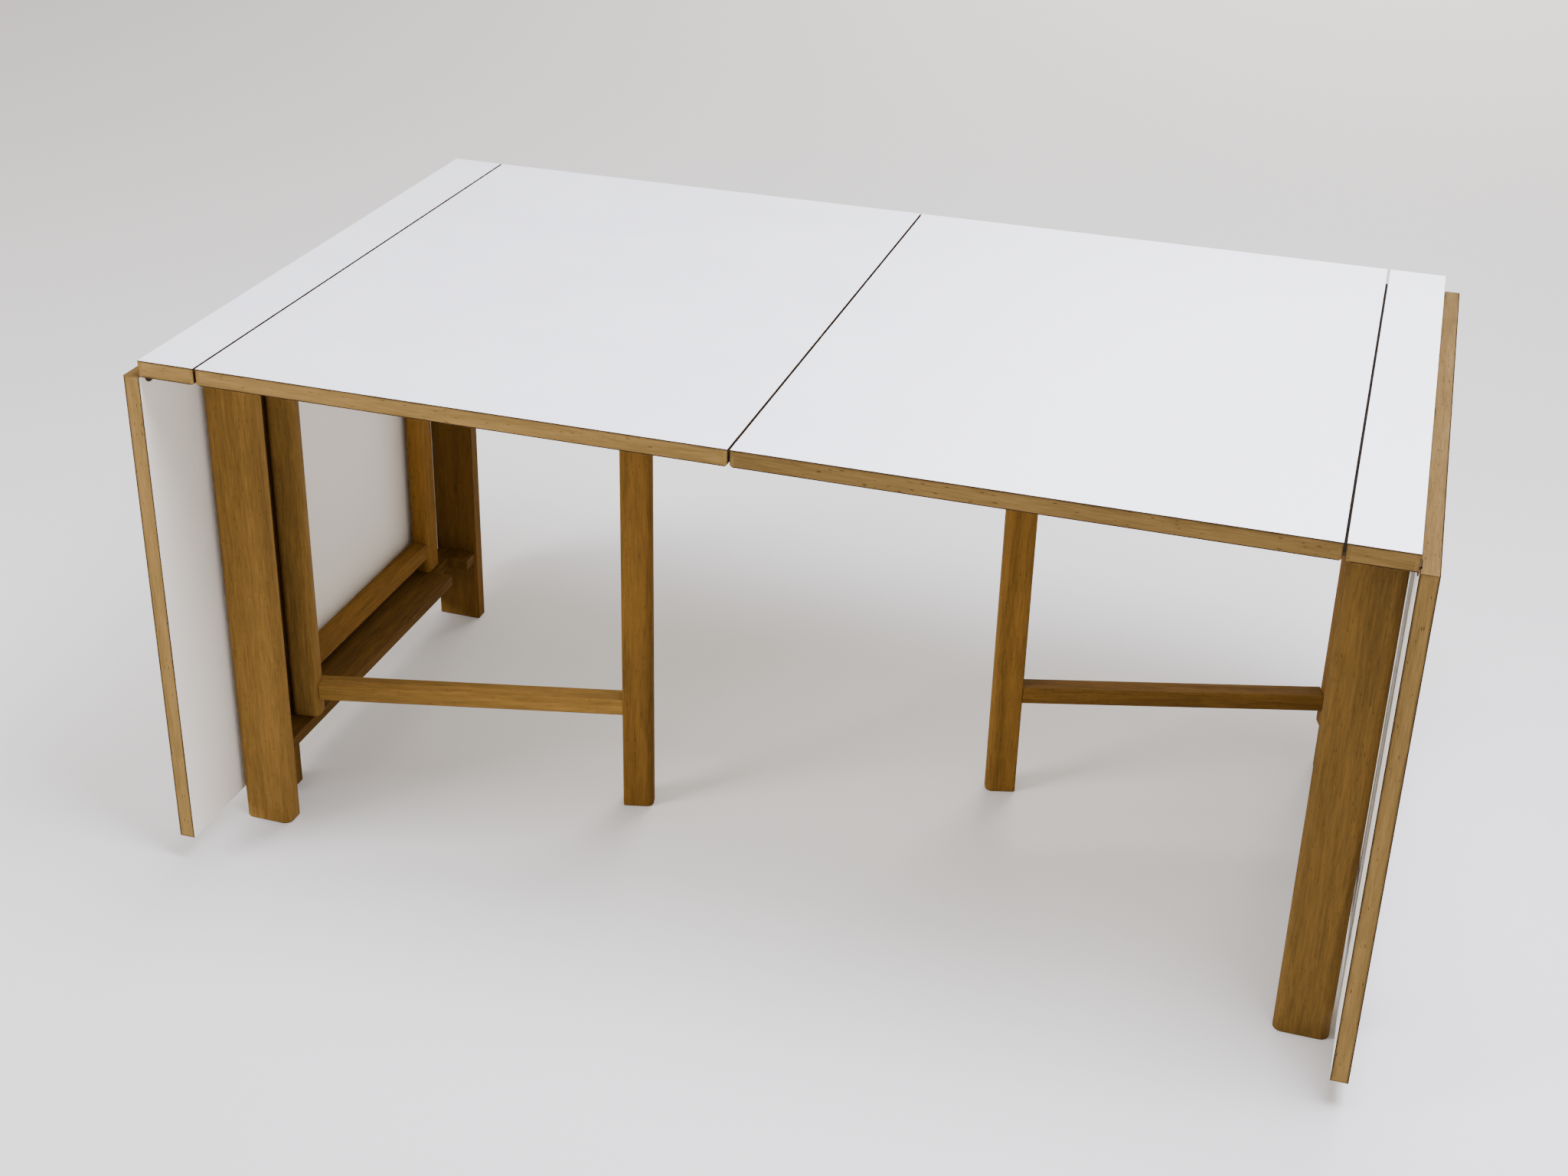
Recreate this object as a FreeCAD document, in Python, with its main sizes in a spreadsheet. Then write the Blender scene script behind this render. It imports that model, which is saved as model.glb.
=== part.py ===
import FreeCAD, Part
import os
import re
import Sketcher

# Folding dining table. Two narrow end frames carry fixed strips of the top. Two inner leaves join the
# strips across the middle, two outer leaves hang at the ends, and four gates swing out to bear the leaves.
# Origin on the floor under the middle, X along the table, Y to the rear, Z up, in millimetres.
# The right half is the left half turned half round about Z.

SIZES = (
    ("table_height", 720, "floor to the top face"),
    ("top_width", 880, "front edge to rear edge, the length of every seam"),
    ("panel_thickness", 21.3, "leaf or strip with both laminates"),
    ("laminate_thickness", 1.2, "each white sheet"),
    ("sheet_round", 0.4, "outer edges of a white sheet"),
    ("lipping_thickness", 5, "solid wood edge round each panel"),
    ("leaf_length", 659.5, "each leaf, seam to free end"),
    ("strip_width", 74.25, "fixed strip over an end frame"),
    ("frame_shift", 1.375, "strip's middle to its frame's middle, towards the table's middle"),
    ("seam_gap", 2.5, "inner and middle seams"),
    ("outer_gap", 1, "strip to a raised outer leaf"),
    ("seam_round", 4.5, "lower edge along the inner and middle seams"),
    ("board_width", 68, "upright board, along the table"),
    ("board_thickness", 30, "upright board, front to rear"),
    ("board_round", 12, "upright board's outward corners"),
    ("board_inset", 116, "top's edge to the outward face of a board"),
    ("arris_round", 2.5, "upright board's and leg's inward corners"),
    ("foot_round", 2, "lower edges of boards and legs"),
    ("stretcher_top", 120, "floor to the stretcher's upper face"),
    ("stretcher_thickness", 18, "stretcher, upright"),
    ("stretcher_width", 62, "stretcher, along the table"),
    ("pivot_inset", 72, "board's inward face to a gate pivot, along the frame"),
    ("pivot_offset", 18.6, "frame's middle to a gate pivot, across the frame"),
    ("left_open_angle", 76.1, "left inner gate as it stands, from folded"),
    ("right_open_angle", 73.5, "right inner gate as it stands, from folded"),
    ("gate_thickness", 29, "post and leg, across the gate"),
    ("post_width", 39, "post, along the gate"),
    ("post_round", 8, "post's corners"),
    ("leg_width", 42, "leg, along the gate"),
    ("leg_round", 10, "leg's corners at the gate's free end"),
    ("leg_gap", 0.5, "leg's top to a leaf"),
    ("post_gap", 1, "post's top to the strip"),
    ("leg_clearance", 35, "folded leg to the board's inward face, along the frame"),
    ("rail_width", 27, "rail, across the gate"),
    ("rail_height", 24.5, "rail, upright"),
    ("lower_rail", 147.4, "floor to the lower rail"),
    ("upper_rail", 597, "floor to the upper rail"),
    ("rail_round", 1.5, "rail's and stretcher's long edges"),
    ("tenon_length", 9, "rail's tenon in post or leg"),
    ("tenon_height", 13, "rail's tenon, upright"),
    ("tenon_thickness", 9, "rail's tenon, across the gate"),
    ("glue_gap", 0.05, "round a glued or pressed joint"),
    ("notch_gap", 6, "folded leg to the ends of its notch"),
    ("notch_side", 6, "folded leg to the bottom of its notch"),
    ("pivot_radius", 5, "gate's pivot pin"),
    ("pivot_run", 0.05, "pivot pin to the post's bore, all round"),
    ("pivot_in_post", 20, "pivot pin's length in the post"),
    ("pivot_in_frame", 14, "pivot pin's length in stretcher or strip"),
    ("bore_spare", 1, "bore beyond the end of its pin"),
    ("washer_radius", 10.5, "washer under a post"),
    ("washer_thickness", 1.6, "washer under a post"),
    ("washer_gap", 0.2, "washer to the post's end, and to the pin"),
    ("dowel_radius", 5, "wooden dowel"),
    ("dowel_length", 28, "wooden dowel, half in each piece"),
    ("dowel_spacing", 36, "between the dowels at one joint"),
    ("hinge_inset", 21, "top's edge to the middle of the first short hinge"),
    ("long_inset", 12, "top's edge to the end of a long hinge"),
    ("long_rise", 0.8, "long hinge's plate to its axis, upwards"),
    ("plate_width", 18, "short hinge's plate, along the seam"),
    ("plate_reach", 13, "hinge axis to the plate's end"),
    ("plate_start", 2.6, "hinge axis to the plate's broad part"),
    ("plate_thickness", 1.5, "hinge plate"),
    ("plate_round", 8.5, "corners at a short plate's end"),
    ("knuckle_radius", 2.2, "hinge knuckle"),
    ("knuckle_middle", 7, "short hinge's knuckle on the strip, along the seam"),
    ("knuckle_gap", 0.3, "round a knuckle"),
    ("hinge_pin_radius", 1, "hinge pin"),
    ("hinge_pin_run", 0.05, "hinge pin to a knuckle's bore, all round"),
    ("screw_reach", 8, "hinge axis to a hinge screw"),
    ("screw_spacing", 9, "between the two screws of a short plate"),
    ("screw_radius", 1.4, "hinge screw's shank"),
    ("screw_head", 2.6, "hinge screw's countersunk head"),
    ("screw_length", 10, "hinge screw in the wood"),
    ("screw_slot", 0.6, "hinge screw's slot, wide and deep"),
    ("barrel_radius", 6, "middle hinge's barrel"),
    ("barrel_length", 12, "middle hinge's barrel in the leaf's edge"),
    ("barrel_spread", 300, "between the middle hinges"),
    ("link_thickness", 2.4, "middle hinge's link, along the seam"),
    ("link_height", 7, "middle hinge's link, upright"),
    ("link_reach", 9, "middle of the seam to the link's end"),
    ("link_gap", 0.3, "link to the sides of its slot"),
    ("link_spare", 2.5, "slot beyond the link's end"),
)

doc = FreeCAD.newDocument("FoldingTable")
sheet = doc.addObject("Spreadsheet::Sheet", "Sizes")
for row, (alias, value, note) in enumerate(SIZES, start=1):
    sheet.set(f"A{row}", note)
    sheet.set(f"B{row}", str(value))
    sheet.setAlias(f"B{row}", alias)
doc.recompute()

# Heights and positions that follow from the sizes.
UNDERSIDE = "(table_height - panel_thickness)"
STRIP_X = "(seam_gap * 1.5 + leaf_length + strip_width / 2)"
FRAME_X = f"({STRIP_X} - frame_shift)"
INNER_AXIS = "(seam_gap + leaf_length)"
OUTER_AXIS = f"({STRIP_X} + strip_width / 2 + outer_gap / 2)"
BOARD_Y = "(top_width / 2 - board_inset - board_thickness / 2)"
BOARD_FACE = "(top_width / 2 - board_inset - board_thickness)"
POST_FOOT = "(stretcher_top + washer_thickness + washer_gap)"
POST_TOP = f"({UNDERSIDE} - post_gap)"
PIVOT_Y = f"({BOARD_FACE} - pivot_inset)"
RAIL_LENGTH = f"({PIVOT_Y} + {BOARD_FACE} - leg_clearance - leg_width - post_width / 2)"
RAIL_U = f"(post_width / 2 + {RAIL_LENGTH} / 2)"
LEG_U = f"(post_width / 2 + {RAIL_LENGTH} + leg_width / 2)"
BARREL_Z = f"({UNDERSIDE} + panel_thickness / 2)"
HINGE_PLACES = ("-(top_width / 2 - hinge_inset)", "0", "top_width / 2 - hinge_inset")
BARREL_PLACES = ("-barrel_spread", "0", "barrel_spread")
LONG = "(top_width - 2 * long_inset)"
LONG_KNUCKLES = 29
LONG_SCREWS = 9
OVERCUT = "1"
SKETCH_START = 9  # any half side will do, before the sketch is tied to its sizes
SPAN = 1  # an edge that spans more than this along an axis runs along it
TOUCH = 0.01  # nearer than this counts as touching


def in_cells(text):
    """An expression in the sheet's names, written with the sheet's own cells."""
    return re.sub(r"\b([a-z]+(?:_[a-z]+)+)\b", r"Sizes.\1", text)


def place(thing, at):
    """Ties an object's position to three expressions."""
    for letter, text in zip("xyz", at):
        if text != "0":
            thing.setExpression(f"Placement.Base.{letter}", in_cells(text))


def box(name, size, at):
    """A block, placed by the middle of its lower face."""
    block = doc.addObject("Part::Box", name)
    for side, text in zip(("Length", "Width", "Height"), size):
        block.setExpression(side, in_cells(text))
    place(block, (f"({at[0]}) - ({size[0]}) / 2", f"({at[1]}) - ({size[1]}) / 2", at[2]))
    return block


def rod(name, radius, length, at, along="Z"):
    """A cylinder that starts at a point and runs along an axis."""
    cylinder = doc.addObject("Part::Cylinder", name)
    cylinder.setExpression("Radius", in_cells(radius))
    cylinder.setExpression("Height", in_cells(length))
    turns = {"X": (FreeCAD.Vector(0, 1, 0), 90), "Y": (FreeCAD.Vector(1, 0, 0), -90)}
    if along in turns:
        cylinder.Placement.Rotation = FreeCAD.Rotation(*turns[along])
    place(cylinder, at)
    return cylinder


def group(name, pieces, at=("0", "0", "0"), turn="0"):
    """Pieces placed together, turned about Z."""
    compound = doc.addObject("Part::Compound", name)
    compound.Links = list(pieces)
    if turn != "0":
        compound.setExpression("Placement.Rotation.Angle", in_cells(turn))
    place(compound, at)
    return compound


def fuse(name, pieces):
    """Pieces joined into one solid."""
    joined = doc.addObject("Part::MultiFuse", name)
    joined.Shapes = list(pieces)
    joined.Refine = True
    return joined


def cut(name, base, tools):
    """A piece with every tool taken out of it."""
    tool = tools[0] if len(tools) == 1 else group(f"{name}_tools", tools)
    rest = doc.addObject("Part::Cut", name)
    rest.Base = base
    rest.Tool = tool
    rest.Refine = True
    return rest


def plank(name, size, rounds=()):
    """A block standing on the origin as a body: outline, pad and rounded edges."""
    body = doc.addObject("PartDesign::Body", name)
    outline = body.newObject("Sketcher::SketchObject", f"{name}_outline")
    plane = [item for item in body.Origin.OriginFeatures if item.Role == "XY_Plane"][0]
    outline.AttachmentSupport = [(plane, "")]
    outline.MapMode = "FlatFace"
    turns = ((-1, -1), (1, -1), (1, 1), (-1, 1))
    corners = [FreeCAD.Vector(x * SKETCH_START, y * SKETCH_START, 0) for x, y in turns]
    for start, end in zip(corners, corners[1:] + corners[:1]):
        outline.addGeometry(Part.LineSegment(start, end), False)
    for line in range(4):
        outline.addConstraint(Sketcher.Constraint("Coincident", line, 2, (line + 1) % 4, 1))
        outline.addConstraint(Sketcher.Constraint("Horizontal" if line % 2 == 0 else "Vertical", line))
    outline.addConstraint(Sketcher.Constraint("Symmetric", 0, 1, 2, 1, -1, 1))
    along = outline.addConstraint(Sketcher.Constraint("DistanceX", 0, 1, 0, 2, 2 * SKETCH_START))
    across = outline.addConstraint(Sketcher.Constraint("DistanceY", 1, 1, 1, 2, 2 * SKETCH_START))
    outline.renameConstraint(along, "Along")
    outline.renameConstraint(across, "Across")
    outline.setExpression("Constraints.Along", in_cells(size[0]))
    outline.setExpression("Constraints.Across", in_cells(size[1]))
    tip = body.newObject("PartDesign::Pad", f"{name}_pad")
    tip.Profile = outline
    tip.setExpression("Length", in_cells(size[2]))
    for number, (chosen, radius) in enumerate(rounds):
        doc.recompute()
        edges = [f"Edge{i}" for i, edge in enumerate(tip.Shape.Edges, start=1) if chosen(edge)]
        rounded = body.newObject("PartDesign::Fillet", f"{name}_round_{number}")
        rounded.Base = (tip, edges)
        rounded.setExpression("Radius", in_cells(radius))
        tip = rounded
    body.Tip = tip
    return body


def upright(edge):
    return edge.BoundBox.ZLength > SPAN


def lowest(edge):
    return abs(edge.BoundBox.ZMin) + edge.BoundBox.ZLength < TOUCH


def highest(edge):
    return edge.BoundBox.ZMin > TOUCH


NODES = []


def node(label, pieces, half="left", at=("0", "0", "0"), turn="0", hang=0):
    """One sub-part in its place. A hanging one is turned down about the hinge axis through its origin."""
    part = doc.addObject("Part::Compound", label)
    part.Label = label
    part.Links = list(pieces)
    right = half == "right"
    if hang:
        down = FreeCAD.Rotation(FreeCAD.Vector(0, 1, 0), hang)
        part.Placement.Rotation = FreeCAD.Rotation(FreeCAD.Vector(0, 0, 1), 180 if right else 0) * down
    else:
        part.setExpression("Placement.Rotation.Angle", in_cells(f"{turn} + 180" if right else turn))
    place(part, (f"-({at[0]})", f"-({at[1]})", at[2]) if right else at)
    NODES.append(part)
    return part


# Hinge pieces, drawn about an axis along Y: the strip's plate runs to +X and the leaf's plate to -X.
screw_cone = doc.addObject("Part::Cone", "screw_cone")
screw_cone.setExpression("Radius1", in_cells("screw_head"))
screw_cone.setExpression("Radius2", in_cells("screw_radius"))
screw_cone.setExpression("Height", in_cells("plate_thickness"))
place(screw_cone, ("0", "0", "-plate_thickness"))
screw_shank = rod("screw_shank", "screw_radius", "screw_length", ("0", "0", "0"))
screw_blank = fuse("screw_blank", (screw_cone, screw_shank))
slot_size = (f"2 * screw_head + {OVERCUT}", "screw_slot", "2 * screw_slot")
screw_slot = box("screw_slot_tool", slot_size, ("0", "0", "-plate_thickness - screw_slot"))
screw = cut("screw", screw_blank, (screw_slot,))
sink = doc.addObject("Part::Cone", "screw_sink")
sink.setExpression("Radius1", in_cells("screw_head + glue_gap"))
sink.setExpression("Radius2", in_cells("screw_radius + glue_gap"))
sink.setExpression("Height", in_cells("plate_thickness"))
place(sink, ("0", "0", "-plate_thickness"))
pilot = rod("screw_pilot", "screw_radius + glue_gap", f"screw_length + {OVERCUT}", ("0", "0", "0"))

# The inner seams have one long hinge each and the outer seams three short ones. A knuckle is given by its
# start and its length along the axis, and the knuckles lie by turns on the leaf's and the strip's plate.
END_KNUCKLE = "(plate_width / 2 - knuckle_middle / 2 - knuckle_gap)"
PITCH = f"({LONG} / {LONG_KNUCKLES})"
in_turn = []
for i in range(LONG_KNUCKLES):
    in_turn.append((f"{i} * {PITCH} - {LONG} / 2 + knuckle_gap / 2", f"{PITCH} - knuckle_gap"))
HINGES = {
    "short": {
        "length": "plate_width", "rise": "0", "screws": ("-screw_spacing / 2", "screw_spacing / 2"),
        "strip": [("-knuckle_middle / 2", "knuckle_middle")],
        "leaf": [("-plate_width / 2", END_KNUCKLE), ("knuckle_middle / 2 + knuckle_gap", END_KNUCKLE)],
    },
    "long": {
        "length": LONG, "rise": "long_rise",
        "screws": [f"{LONG} * {(i + 0.5) / LONG_SCREWS - 0.5}" for i in range(LONG_SCREWS)],
        "strip": in_turn[1::2], "leaf": in_turn[0::2],
    },
}
BLADE = "(plate_reach - plate_start)"
BLADE_X = "(plate_reach + plate_start) / 2"
WEB = "(plate_start + knuckle_radius / 2)"
tongue = plank("plate_tongue", (BLADE, "plate_width", "plate_thickness"),
               ((lambda e: upright(e) and e.BoundBox.XMin > 0, "plate_round"),))
made = {}
for kind, hinge in HINGES.items():
    length, rise = hinge["length"], hinge["rise"]
    hole = ("hinge_pin_radius + hinge_pin_run", f"{length} + 2 * {OVERCUT}")
    pin_hole = rod(f"{kind}_pin_hole", *hole, ("0", f"-{length} / 2 - {OVERCUT}", rise), "Y")
    pieces = {"pin": rod(f"{kind}_pin", "hinge_pin_radius", length, ("0", f"-{length} / 2", rise), "Y")}
    for side, sign, turn in (("strip", "", "0"), ("leaf", "-", "180")):
        name = f"{kind}_{side}"
        for item, piece in (("screws", screw), ("sinks", sink), ("pilots", pilot)):
            spots = [(f"{sign}screw_reach", y, "0") for y in hinge["screws"]]
            copies = [group(f"{name}_{item}_{i}", (piece,), spot) for i, spot in enumerate(spots)]
            pieces[f"{side}_{item}"] = group(f"{name}_{item}", copies)
        blade_at = (f"{sign}{BLADE_X}", "0", "-plate_thickness")
        if kind == "short":
            joined = [group(f"{name}_blade", (tongue,), blade_at, turn)]
        else:
            joined = [box(f"{name}_blade", (BLADE, length, "plate_thickness"), blade_at)]
        for i, (first, run) in enumerate(hinge[side]):
            joined.append(rod(f"{name}_knuckle_{i}", "knuckle_radius", run, ("0", first, rise), "Y"))
            joined.append(box(f"{name}_web_{i}", (WEB, run, "plate_thickness"),
                              (f"{sign}{WEB} / 2", f"{first} + ({run}) / 2", "-plate_thickness")))
        blank = fuse(f"{name}_blank", joined)
        pieces[f"{side}_plate"] = cut(f"{name}_plate", blank, (pin_hole, pieces[f"{side}_sinks"]))
    room = ("knuckle_radius + knuckle_gap", f"{length} + 2 * knuckle_gap")
    pieces["room"] = rod(f"{kind}_room", *room, ("0", f"-{length} / 2 - knuckle_gap", rise), "Y")
    made[kind] = pieces
rebate_size = ("2 * (plate_reach + glue_gap)", f"{LONG} + 2 * glue_gap", "plate_thickness + glue_gap")
made["long"]["rebate"] = box("long_rebate", rebate_size, ("0", "0", "-plate_thickness"))


def along_seam(name, item, seam):
    """One copy of a hinge piece at each hinge of a seam."""
    kind, axis_x, height, turn, places = seam
    spots = enumerate(places)
    return [group(f"{name}_{item}_{i}", (made[kind][item],), (axis_x, y, height), turn) for i, y in spots]


# The long plates are let into the panels' undersides, the short ones are screwed on.
INNER = ("long", f"-{INNER_AXIS}", f"{UNDERSIDE} + plate_thickness", "180", ("0",))
OUTER = ("short", f"-{OUTER_AXIS}", UNDERSIDE, "0", HINGE_PLACES)
RAISED = ("short", "0", "0", "0", HINGE_PLACES)
strip_hinges = {}
for item in ("strip_plate", "pin", "strip_screws", "strip_pilots"):
    strip_hinges[item] = along_seam("inner", item, INNER) + along_seam("outer", item, OUTER)
LEAF_ITEMS = ("leaf_plate", "leaf_screws", "leaf_pilots")
inner_hinges = {item: along_seam("inner", item, INNER) for item in LEAF_ITEMS}
outer_hinges = {item: along_seam("raised", item, RAISED) for item in LEAF_ITEMS}
rebates = along_seam("inner", "rebate", INNER)
seam_rooms = along_seam("inner", "room", INNER)
strip_rooms = along_seam("outer", "room", OUTER)
outer_rooms = along_seam("raised", "room", RAISED)

# Gate pivots and dowels that reach into the strips and the frame.
PIVOTS = {
    "inner": (f"(-{FRAME_X} + pivot_offset)", f"(-{PIVOT_Y})"),
    "outer": (f"(-{FRAME_X} - pivot_offset)", PIVOT_Y),
}
pivot_pins = []
strip_pin_holes = []
stretcher_pin_holes = []
washers = []
for gate, (x, y) in PIVOTS.items():
    low_start = "stretcher_top - pivot_in_frame"
    low_length = f"{POST_FOOT} - stretcher_top + pivot_in_frame + pivot_in_post"
    high_start = f"{POST_TOP} - pivot_in_post"
    high_length = "pivot_in_post + post_gap + pivot_in_frame"
    pivot_pins.append(rod(f"{gate}_low_pin", "pivot_radius", low_length, (x, y, low_start)))
    pivot_pins.append(rod(f"{gate}_high_pin", "pivot_radius", high_length, (x, y, high_start)))
    socket = ("pivot_radius + glue_gap", f"pivot_in_frame + {OVERCUT}")
    strip_pin_holes.append(rod(f"{gate}_strip_socket", *socket, (x, y, UNDERSIDE)))
    floor_of_socket = "stretcher_top - pivot_in_frame - glue_gap"
    stretcher_pin_holes.append(rod(f"{gate}_stretcher_socket", *socket, (x, y, floor_of_socket)))
    disc = rod(f"{gate}_washer_disc", "washer_radius", "washer_thickness", (x, y, "stretcher_top"))
    eye = rod(f"{gate}_washer_eye", "pivot_radius + washer_gap", "washer_thickness", (x, y, "stretcher_top"))
    washers.append(cut(f"{gate}_washer", disc, (eye,)))

dowels = []
strip_dowel_holes = []
stretcher_dowel_holes = []
for i, across in enumerate(("-dowel_spacing / 2", "dowel_spacing / 2")):
    x = f"-{FRAME_X} + {across}"
    for end, sign in (("front", "-"), ("rear", "")):
        y = f"{sign}{BOARD_Y}"
        low = f"{UNDERSIDE} - dowel_length / 2"
        dowels.append(rod(f"{end}_top_dowel_{i}", "dowel_radius", "dowel_length", (x, y, low)))
        hole = ("dowel_radius + glue_gap", "dowel_length / 2 + glue_gap")
        strip_dowel_holes.append(rod(f"{end}_top_hole_{i}", *hole, (x, y, UNDERSIDE)))
        middle = "stretcher_top - stretcher_thickness / 2"
        start = f"{sign}{BOARD_FACE} - dowel_length / 2"
        dowels.append(rod(f"{end}_side_dowel_{i}", "dowel_radius", "dowel_length", (x, start, middle), "Y"))
        side_hole = f"-{BOARD_FACE}" if end == "front" else f"{BOARD_FACE} - dowel_length / 2 - glue_gap"
        stretcher_dowel_holes.append(rod(f"{end}_side_hole_{i}", *hole, (x, side_hole, middle), "Y"))


def panel(name, length, middle, base, rounded, core_tools, skin_tools, end_tools):
    """Core, lipping and laminates of a flat panel. Ends named in rounded have a rounded lower edge."""
    inside = "(panel_thickness - 2 * laminate_thickness)"
    core_z = f"{base} + laminate_thickness"
    core_length = f"{length} - 2 * lipping_thickness"
    core_size = (core_length, "top_width - 2 * lipping_thickness", inside)
    core = cut(f"{name}_core", box(f"{name}_core_blank", core_size, (middle, "0", core_z)), core_tools)
    lips = []
    for way, sign in (("front", "-"), ("rear", "")):
        y = f"{sign}(top_width / 2 - lipping_thickness / 2)"
        lips.append(box(f"{name}_{way}_lip", (core_length, "lipping_thickness", inside), (middle, y, core_z)))
    skin_length = length
    skin_middle = middle
    for end, sign in (("low", "-"), ("high", "+")):
        x = f"{middle} {sign} ({length} / 2 - lipping_thickness / 2)"
        if end in rounded:
            lip_size = ("lipping_thickness", "top_width", "panel_thickness - laminate_thickness")
            edge = plank(f"{name}_{end}_edge", lip_size, ((lambda e: lowest(e) and e.BoundBox.XMin > 0,
                                                           "seam_round"),))
            lip = group(f"{name}_{end}_lip", (edge,), (x, "0", base), "180" if end == "low" else "0")
            skin_length = f"{skin_length} - lipping_thickness"
            skin_middle = f"{skin_middle} {'+' if end == 'low' else '-'} lipping_thickness / 2"
        else:
            lip = box(f"{name}_{end}_lip", ("lipping_thickness", "top_width", inside), (x, "0", core_z))
        tools = end_tools.get(end)
        lips.append(cut(f"{name}_{end}_lip_cut", lip, tools) if tools else lip)
    sheets = []
    for level, sheet_length, sheet_at, edges in (
        ("upper", length, (middle, "0", f"{base} + panel_thickness - laminate_thickness"), highest),
        ("lower", skin_length, (skin_middle, "0", base), lowest),
    ):
        stock = plank(f"{name}_{level}_stock", (sheet_length, "top_width", "laminate_thickness"),
                      ((edges, "sheet_round"),))
        sheets.append(group(f"{name}_{level}_sheet", (stock,), sheet_at))
    sheets[1] = cut(f"{name}_lower_drilled", sheets[1], skin_tools)
    return {"core": (core,), "lipping": lips, "laminates": sheets}


barrel_bores = []
for i, y in enumerate(BARREL_PLACES):
    bore_start = ("-seam_gap / 2 - barrel_length - glue_gap", y, BARREL_Z)
    bore_length = f"barrel_length + glue_gap + {OVERCUT}"
    barrel_bores.append(rod(f"barrel_bore_{i}", "barrel_radius + glue_gap", bore_length, bore_start, "X"))

drilled = strip_hinges["strip_pilots"] + strip_pin_holes + strip_dowel_holes + rebates
inner_drilled = inner_hinges["leaf_pilots"] + rebates
outer_drilled = outer_hinges["leaf_pilots"]
panels = {
    "strip": panel("strip", "strip_width", f"-{STRIP_X}", UNDERSIDE, ("high",), drilled,
                   drilled + strip_rooms, {"low": strip_rooms, "high": rebates + seam_rooms}),
    "inner_leaf": panel("inner_leaf", "leaf_length", "-(seam_gap / 2 + leaf_length / 2)", UNDERSIDE,
                        ("low", "high"), inner_drilled + barrel_bores, inner_drilled,
                        {"low": rebates + seam_rooms, "high": barrel_bores}),
    "outer_leaf": panel("outer_leaf", "leaf_length", "-(outer_gap / 2 + leaf_length / 2)", "0", (),
                        outer_drilled, outer_drilled + outer_rooms, {"high": outer_rooms}),
}

# Upright board, drawn with its outward face to -Y, and the stretcher with a notch for each folded leg.
board_body = plank("board_body", ("board_width", "board_thickness", UNDERSIDE), (
    (lambda e: upright(e) and e.BoundBox.YMin > 0, "arris_round"),
    (lambda e: upright(e) and e.BoundBox.YMax < 0, "board_round"),
    (lowest, "foot_round"),
))
board_holes = []
for i, x in enumerate(("-dowel_spacing / 2", "dowel_spacing / 2")):
    hole = ("dowel_radius + glue_gap", f"dowel_length / 2 + glue_gap + {OVERCUT}")
    top_start = f"{UNDERSIDE} - dowel_length / 2 - glue_gap"
    side_start = "board_thickness / 2 - dowel_length / 2 - glue_gap"
    board_holes.append(rod(f"board_top_hole_{i}", *hole, (x, "0", top_start)))
    board_holes.append(rod(f"board_side_hole_{i}", *hole,
                           (x, side_start, "stretcher_top - stretcher_thickness / 2"), "Y"))
board = cut("board", board_body, board_holes)

stretcher_bottom = "stretcher_top - stretcher_thickness"
stretcher_body = plank("stretcher_body", ("stretcher_width", f"2 * {BOARD_FACE}", "stretcher_thickness"),
                       ((lambda e: e.BoundBox.YLength > SPAN, "rail_round"),))
stretcher_stock = group("stretcher_stock", (stretcher_body,), (f"-{FRAME_X}", "0", stretcher_bottom))
NOTCH_DEPTH = "(stretcher_width / 2 - pivot_offset + gate_thickness / 2 + notch_side)"
NOTCH_Y = f"({LEG_U} - {PIVOT_Y})"
notch_size = (f"{NOTCH_DEPTH} + {OVERCUT}", "leg_width + 2 * notch_gap",
              f"stretcher_thickness + 2 * {OVERCUT}")
notches = []
for way, sign, opposite in (("inner", "+", ""), ("outer", "-", "-")):
    notch_x = f"-{FRAME_X} {sign} (stretcher_width / 2 - {NOTCH_DEPTH} / 2 + {OVERCUT} / 2)"
    notch_at = (notch_x, f"{opposite}{NOTCH_Y}", f"{stretcher_bottom} - {OVERCUT}")
    notches.append(box(f"{way}_notch", notch_size, notch_at))
stretcher = cut("stretcher", stretcher_stock, notches + stretcher_pin_holes + stretcher_dowel_holes)

# Gate, drawn about its pivot with the leg along +X.
post_body = plank("post_body", ("post_width", "gate_thickness", f"{POST_TOP} - {POST_FOOT}"),
                  ((upright, "post_round"),))
post_stock = group("post_stock", (post_body,), ("0", "0", POST_FOOT))
bore = ("pivot_radius + pivot_run", f"pivot_in_post + bore_spare + {OVERCUT}")
post_bores = [
    rod("post_low_bore", *bore, ("0", "0", f"{POST_FOOT} - {OVERCUT}")),
    rod("post_high_bore", *bore, ("0", "0", f"{POST_TOP} - pivot_in_post - bore_spare")),
]
leg_body = plank("leg_body", ("leg_width", "gate_thickness", f"{UNDERSIDE} - leg_gap"), (
    (lambda e: upright(e) and e.BoundBox.XMax < 0, "arris_round"),
    (lambda e: upright(e) and e.BoundBox.XMin > 0, "leg_round"),
    (lowest, "foot_round"),
))
leg_stock = group("leg_stock", (leg_body,), (LEG_U, "0", "0"))
rail_body = plank("rail_body", (RAIL_LENGTH, "rail_width", "rail_height"),
                  ((lambda e: e.BoundBox.XLength > SPAN, "rail_round"),))
rails = []
mortises = []
for level in ("lower_rail", "upper_rail"):
    stock = group(f"{level}_stock", (rail_body,), (RAIL_U, "0", level))
    tenon_z = f"{level} + rail_height / 2 - tenon_height / 2"
    tenon = (f"{RAIL_LENGTH} + 2 * tenon_length", "tenon_thickness", "tenon_height")
    rails.append(fuse(level, (stock, box(f"{level}_tenons", tenon, (RAIL_U, "0", tenon_z)))))
    mortise = (f"{RAIL_LENGTH} + 2 * (tenon_length + glue_gap)", "tenon_thickness + 2 * glue_gap",
               "tenon_height + 2 * glue_gap")
    mortises.append(box(f"{level}_mortises", mortise, (RAIL_U, "0", f"{tenon_z} - glue_gap")))
post = cut("post", post_stock, post_bores + mortises)
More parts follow.
